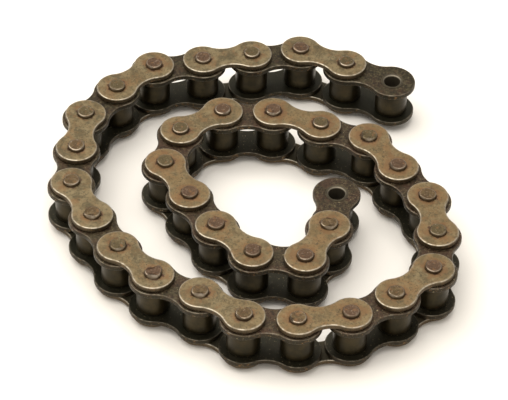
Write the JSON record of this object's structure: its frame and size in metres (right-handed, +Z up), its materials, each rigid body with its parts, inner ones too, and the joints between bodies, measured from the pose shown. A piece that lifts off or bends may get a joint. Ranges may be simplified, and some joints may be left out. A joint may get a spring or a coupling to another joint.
{
  "type": "roller chain",
  "caption": "Length of simplex roller chain: waisted inner and outer link plates, bushes, free-turning rollers and riveted pins, laid on its side in a loose spiral.",
  "frame": {"origin": "middle of the spiral's outline, on the surface that the lower pin ends stand on", "axes": "+Z up along every pin; +X and +Y across the spiral, in the plane that the chain bends in"},
  "size_m": [0.1262, 0.1366, 0.0184],
  "materials": {
    "outer_link_steel": "worn satin steel with brown rust stains",
    "inner_link_steel": "dark oily worn steel",
    "roller_steel": "dark oily steel, polished by use"
  },
  "bodies": {
    "inner_link_00": {"inner_link_00": "inner_link_steel"},
    "outer_link_01": {"outer_link_01": "outer_link_steel"},
    "inner_link_02": {"inner_link_02": "inner_link_steel"},
    "outer_link_03": {"outer_link_03": "outer_link_steel"},
    "inner_link_04": {"inner_link_04": "inner_link_steel"},
    "outer_link_05": {"outer_link_05": "outer_link_steel"},
    "inner_link_06": {"inner_link_06": "inner_link_steel"},
    "outer_link_07": {"outer_link_07": "outer_link_steel"},
    "inner_link_08": {"inner_link_08": "inner_link_steel"},
    "outer_link_09": {"outer_link_09": "outer_link_steel"},
    "inner_link_10": {"inner_link_10": "inner_link_steel"},
    "outer_link_11": {"outer_link_11": "outer_link_steel"},
    "inner_link_12": {"inner_link_12": "inner_link_steel"},
    "outer_link_13": {"outer_link_13": "outer_link_steel"},
    "inner_link_14": {"inner_link_14": "inner_link_steel"},
    "outer_link_15": {"outer_link_15": "outer_link_steel"},
    "inner_link_16": {"inner_link_16": "inner_link_steel"},
    "outer_link_17": {"outer_link_17": "outer_link_steel"},
    "inner_link_18": {"inner_link_18": "inner_link_steel"},
    "outer_link_19": {"outer_link_19": "outer_link_steel"},
    "inner_link_20": {"inner_link_20": "inner_link_steel"},
    "outer_link_21": {"outer_link_21": "outer_link_steel"},
    "inner_link_22": {"inner_link_22": "inner_link_steel"},
    "outer_link_23": {"outer_link_23": "outer_link_steel"},
    "inner_link_24": {"inner_link_24": "inner_link_steel"},
    "outer_link_25": {"outer_link_25": "outer_link_steel"},
    "inner_link_26": {"inner_link_26": "inner_link_steel"},
    "outer_link_27": {"outer_link_27": "outer_link_steel"},
    "inner_link_28": {"inner_link_28": "inner_link_steel"},
    "outer_link_29": {"outer_link_29": "outer_link_steel"},
    "inner_link_30": {"inner_link_30": "inner_link_steel"},
    "outer_link_31": {"outer_link_31": "outer_link_steel"},
    "inner_link_32": {"inner_link_32": "inner_link_steel"},
    "roller_00": {"roller_00": "roller_steel"},
    "roller_01": {"roller_01": "roller_steel"},
    "roller_02": {"roller_02": "roller_steel"},
    "roller_03": {"roller_03": "roller_steel"},
    "roller_04": {"roller_04": "roller_steel"},
    "roller_06": {"roller_06": "roller_steel"},
    "roller_07": {"roller_07": "roller_steel"},
    "roller_08": {"roller_08": "roller_steel"},
    "roller_10": {"roller_10": "roller_steel"},
    "roller_11": {"roller_11": "roller_steel"},
    "roller_12": {"roller_12": "roller_steel"},
    "roller_14": {"roller_14": "roller_steel"},
    "roller_15": {"roller_15": "roller_steel"},
    "roller_16": {"roller_16": "roller_steel"},
    "roller_18": {"roller_18": "roller_steel"},
    "roller_19": {"roller_19": "roller_steel"},
    "roller_20": {"roller_20": "roller_steel"},
    "roller_22": {"roller_22": "roller_steel"},
    "roller_23": {"roller_23": "roller_steel"},
    "roller_24": {"roller_24": "roller_steel"},
    "roller_26": {"roller_26": "roller_steel"},
    "roller_27": {"roller_27": "roller_steel"},
    "roller_28": {"roller_28": "roller_steel"},
    "roller_30": {"roller_30": "roller_steel"},
    "roller_31": {"roller_31": "roller_steel"},
    "roller_32": {"roller_32": "roller_steel"},
    "roller_33": {"roller_33": "roller_steel"}
  },
  "joints": [
    {"name": "roller_00_spin", "type": "hinge", "parent": "inner_link_00", "child": "roller_00", "pos_m": [0.04287, 0.04858, 0.0092], "axis": [0, 0, 1], "continuous": true},
    {"name": "pin_01_hinge", "type": "hinge", "parent": "outer_link_01", "child": "inner_link_00", "pos_m": [0.02825, 0.05478, 0.0092], "axis": [0, 0, 1], "range_deg": [-60, 70]},
    {"name": "roller_01_spin", "type": "hinge", "parent": "inner_link_00", "child": "roller_01", "pos_m": [0.02825, 0.05478, 0.0092], "axis": [0, 0, 1], "continuous": true},
    {"name": "pin_02_hinge", "type": "hinge", "parent": "inner_link_02", "child": "outer_link_01", "pos_m": [0.01364, 0.06098, 0.0092], "axis": [0, 0, -1], "range_deg": [-70, 26]},
    {"name": "roller_02_spin", "type": "hinge", "parent": "inner_link_02", "child": "roller_02", "pos_m": [0.01364, 0.06098, 0.0092], "axis": [0, 0, 1], "continuous": true},
    {"name": "pin_03_hinge", "type": "hinge", "parent": "outer_link_03", "child": "inner_link_02", "pos_m": [-0.00194, 0.05796, 0.0092], "axis": [0, 0, 1], "range_deg": [-17, 70]},
    {"name": "roller_03_spin", "type": "hinge", "parent": "inner_link_02", "child": "roller_03", "pos_m": [-0.00194, 0.05796, 0.0092], "axis": [0, 0, 1], "continuous": true},
    {"name": "pin_04_hinge", "type": "hinge", "parent": "inner_link_04", "child": "outer_link_03", "pos_m": [-0.01747, 0.05466, 0.0092], "axis": [0, 0, -1], "range_deg": [-70, 12]},
    {"name": "roller_04_spin", "type": "hinge", "parent": "inner_link_04", "child": "roller_04", "pos_m": [-0.01747, 0.05466, 0.0092], "axis": [0, 0, 1], "continuous": true},
    {"name": "pin_05_hinge", "type": "hinge", "parent": "outer_link_05", "child": "inner_link_04", "pos_m": [-0.03294, 0.05108, 0.0092], "axis": [0, 0, 1], "range_deg": [-10, 70]},
    {"name": "pin_06_hinge", "type": "hinge", "parent": "inner_link_06", "child": "outer_link_05", "pos_m": [-0.04416, 0.03986, 0.0092], "axis": [0, 0, -1], "range_deg": [-70, 9]},
    {"name": "roller_06_spin", "type": "hinge", "parent": "inner_link_06", "child": "roller_06", "pos_m": [-0.04416, 0.03986, 0.0092], "axis": [0, 0, 1], "continuous": true},
    {"name": "pin_07_hinge", "type": "hinge", "parent": "outer_link_07", "child": "inner_link_06", "pos_m": [-0.05327, 0.02686, 0.0092], "axis": [0, 0, 1], "range_deg": [-8, 70]},
    {"name": "roller_07_spin", "type": "hinge", "parent": "inner_link_06", "child": "roller_07", "pos_m": [-0.05327, 0.02686, 0.0092], "axis": [0, 0, 1], "continuous": true},
    {"name": "pin_08_hinge", "type": "hinge", "parent": "inner_link_08", "child": "outer_link_07", "pos_m": [-0.0552, 0.0111, 0.0092], "axis": [0, 0, -1], "range_deg": [-70, 9]},
    {"name": "roller_08_spin", "type": "hinge", "parent": "inner_link_08", "child": "roller_08", "pos_m": [-0.0552, 0.0111, 0.0092], "axis": [0, 0, 1], "continuous": true},
    {"name": "pin_09_hinge", "type": "hinge", "parent": "outer_link_09", "child": "inner_link_08", "pos_m": [-0.05576, -0.00477, 0.0092], "axis": [0, 0, 1], "range_deg": [-11, 70]},
    {"name": "pin_10_hinge", "type": "hinge", "parent": "inner_link_10", "child": "outer_link_09", "pos_m": [-0.04855, -0.01891, 0.0092], "axis": [0, 0, -1], "range_deg": [-70, 12]},
    {"name": "roller_10_spin", "type": "hinge", "parent": "inner_link_10", "child": "roller_10", "pos_m": [-0.04855, -0.01891, 0.0092], "axis": [0, 0, 1], "continuous": true},
    {"name": "pin_11_hinge", "type": "hinge", "parent": "outer_link_11", "child": "inner_link_10", "pos_m": [-0.04014, -0.03237, 0.0092], "axis": [0, 0, 1], "range_deg": [-13, 70]},
    {"name": "roller_11_spin", "type": "hinge", "parent": "inner_link_10", "child": "roller_11", "pos_m": [-0.04014, -0.03237, 0.0092], "axis": [0, 0, 1], "continuous": true},
    {"name": "pin_12_hinge", "type": "hinge", "parent": "inner_link_12", "child": "outer_link_11", "pos_m": [-0.02911, -0.04379, 0.0092], "axis": [0, 0, -1], "range_deg": [-70, 13]},
    {"name": "roller_12_spin", "type": "hinge", "parent": "inner_link_12", "child": "roller_12", "pos_m": [-0.02911, -0.04379, 0.0092], "axis": [0, 0, 1], "continuous": true},
    {"name": "pin_13_hinge", "type": "hinge", "parent": "outer_link_13", "child": "inner_link_12", "pos_m": [-0.01497, -0.051, 0.0092], "axis": [0, 0, 1], "range_deg": [-12, 70]},
    {"name": "pin_14_hinge", "type": "hinge", "parent": "inner_link_14", "child": "outer_link_13", "pos_m": [-0.0018, -0.05988, 0.0092], "axis": [0, 0, -1], "range_deg": [-70, 10]},
    {"name": "roller_14_spin", "type": "hinge", "parent": "inner_link_14", "child": "roller_14", "pos_m": [-0.0018, -0.05988, 0.0092], "axis": [0, 0, 1], "continuous": true},
    {"name": "pin_15_hinge", "type": "hinge", "parent": "outer_link_15", "child": "inner_link_14", "pos_m": [0.01403, -0.06098, 0.0092], "axis": [0, 0, 1], "range_deg": [-11, 70]},
    {"name": "roller_15_spin", "type": "hinge", "parent": "inner_link_14", "child": "roller_15", "pos_m": [0.01403, -0.06098, 0.0092], "axis": [0, 0, 1], "continuous": true},
    {"name": "pin_16_hinge", "type": "hinge", "parent": "inner_link_16", "child": "outer_link_15", "pos_m": [0.02956, -0.05769, 0.0092], "axis": [0, 0, -1], "range_deg": [-21, 10]},
    {"name": "roller_16_spin", "type": "hinge", "parent": "inner_link_16", "child": "roller_16", "pos_m": [0.02956, -0.05769, 0.0092], "axis": [0, 0, 1], "continuous": true},
    {"name": "pin_17_hinge", "type": "hinge", "parent": "inner_link_16", "child": "outer_link_17", "pos_m": [0.04287, -0.04904, 0.0092], "axis": [0, 0, -1], "range_deg": [-10, 15]},
    {"name": "pin_18_hinge", "type": "hinge", "parent": "outer_link_17", "child": "inner_link_18", "pos_m": [0.0541, -0.03781, 0.0092], "axis": [0, 0, 1], "range_deg": [-13, 10]},
    {"name": "roller_18_spin", "type": "hinge", "parent": "inner_link_18", "child": "roller_18", "pos_m": [0.0541, -0.03781, 0.0092], "axis": [0, 0, 1], "continuous": true},
    {"name": "pin_19_hinge", "type": "hinge", "parent": "inner_link_18", "child": "outer_link_19", "pos_m": [0.05576, -0.02202, 0.0092], "axis": [0, 0, -1], "range_deg": [-11, 11]},
    {"name": "roller_19_spin", "type": "hinge", "parent": "inner_link_18", "child": "roller_19", "pos_m": [0.05576, -0.02202, 0.0092], "axis": [0, 0, 1], "continuous": true},
    {"name": "pin_20_hinge", "type": "hinge", "parent": "outer_link_19", "child": "inner_link_20", "pos_m": [0.053, -0.00639, 0.0092], "axis": [0, 0, 1], "range_deg": [-11, 13]},
    {"name": "roller_20_spin", "type": "hinge", "parent": "inner_link_20", "child": "roller_20", "pos_m": [0.053, -0.00639, 0.0092], "axis": [0, 0, 1], "continuous": true},
    {"name": "pin_21_hinge", "type": "hinge", "parent": "inner_link_20", "child": "outer_link_21", "pos_m": [0.04412, 0.00677, 0.0092], "axis": [0, 0, -1], "range_deg": [-14, 13]},
    {"name": "pin_22_hinge", "type": "hinge", "parent": "outer_link_21", "child": "inner_link_22", "pos_m": [0.03525, 0.01993, 0.0092], "axis": [0, 0, 1], "range_deg": [-16, 15]},
    {"name": "roller_22_spin", "type": "hinge", "parent": "inner_link_22", "child": "roller_22", "pos_m": [0.03525, 0.01993, 0.0092], "axis": [0, 0, 1], "continuous": true},
    {"name": "pin_23_hinge", "type": "hinge", "parent": "inner_link_22", "child": "outer_link_23", "pos_m": [0.02024, 0.0251, 0.0092], "axis": [0, 0, -1], "range_deg": [-12, 22]},
    {"name": "roller_23_spin", "type": "hinge", "parent": "inner_link_22", "child": "roller_23", "pos_m": [0.02024, 0.0251, 0.0092], "axis": [0, 0, 1], "continuous": true},
    {"name": "pin_24_hinge", "type": "hinge", "parent": "outer_link_23", "child": "inner_link_24", "pos_m": [0.00532, 0.03053, 0.0092], "axis": [0, 0, 1], "range_deg": [-24, 8]},
    {"name": "roller_24_spin", "type": "hinge", "parent": "inner_link_24", "child": "roller_24", "pos_m": [0.00532, 0.03053, 0.0092], "axis": [0, 0, 1], "continuous": true},
    {"name": "pin_25_hinge", "type": "hinge", "parent": "inner_link_24", "child": "outer_link_25", "pos_m": [-0.01055, 0.02997, 0.0092], "axis": [0, 0, -1], "range_deg": [-7, 12]},
    {"name": "pin_26_hinge", "type": "hinge", "parent": "outer_link_25", "child": "inner_link_26", "pos_m": [-0.02339, 0.02064, 0.0092], "axis": [0, 0, 1], "range_deg": [-9, 9]},
    {"name": "roller_26_spin", "type": "hinge", "parent": "inner_link_26", "child": "roller_26", "pos_m": [-0.02339, 0.02064, 0.0092], "axis": [0, 0, 1], "continuous": true},
    {"name": "pin_27_hinge", "type": "hinge", "parent": "inner_link_26", "child": "outer_link_27", "pos_m": [-0.0275, 0.00531, 0.0092], "axis": [0, 0, -1], "range_deg": [-11, 9]},
    {"name": "roller_27_spin", "type": "hinge", "parent": "inner_link_26", "child": "roller_27", "pos_m": [-0.0275, 0.00531, 0.0092], "axis": [0, 0, 1], "continuous": true},
    {"name": "pin_28_hinge", "type": "hinge", "parent": "outer_link_27", "child": "inner_link_28", "pos_m": [-0.01956, -0.00844, 0.0092], "axis": [0, 0, 1], "range_deg": [-15, 16]},
    {"name": "roller_28_spin", "type": "hinge", "parent": "inner_link_28", "child": "roller_28", "pos_m": [-0.01956, -0.00844, 0.0092], "axis": [0, 0, 1], "continuous": true},
    {"name": "pin_29_hinge", "type": "hinge", "parent": "inner_link_28", "child": "outer_link_29", "pos_m": [-0.01115, -0.0219, 0.0092], "axis": [0, 0, -1], "range_deg": [-40, 25]},
    {"name": "pin_30_hinge", "type": "hinge", "parent": "outer_link_29", "child": "inner_link_30", "pos_m": [0.00008, -0.03313, 0.0092], "axis": [0, 0, 1], "range_deg": [-45, 44]},
    {"name": "roller_30_spin", "type": "hinge", "parent": "inner_link_30", "child": "roller_30", "pos_m": [0.00008, -0.03313, 0.0092], "axis": [0, 0, 1], "continuous": true},
    {"name": "pin_31_hinge", "type": "hinge", "parent": "inner_link_30", "child": "outer_link_31", "pos_m": [0.01589, -0.03451, 0.0092], "axis": [0, 0, -1], "range_deg": [-16, 36]},
    {"name": "roller_31_spin", "type": "hinge", "parent": "inner_link_30", "child": "roller_31", "pos_m": [0.01589, -0.03451, 0.0092], "axis": [0, 0, 1], "continuous": true},
    {"name": "pin_32_hinge", "type": "hinge", "parent": "outer_link_31", "child": "inner_link_32", "pos_m": [0.0231, -0.02037, 0.0092], "axis": [0, 0, 1], "range_deg": [-70, 60]},
    {"name": "roller_32_spin", "type": "hinge", "parent": "inner_link_32", "child": "roller_32", "pos_m": [0.0231, -0.02037, 0.0092], "axis": [0, 0, 1], "continuous": true},
    {"name": "roller_33_spin", "type": "hinge", "parent": "inner_link_32", "child": "roller_33", "pos_m": [0.02531, -0.00464, 0.0092], "axis": [0, 0, 1], "continuous": true}
  ]
}
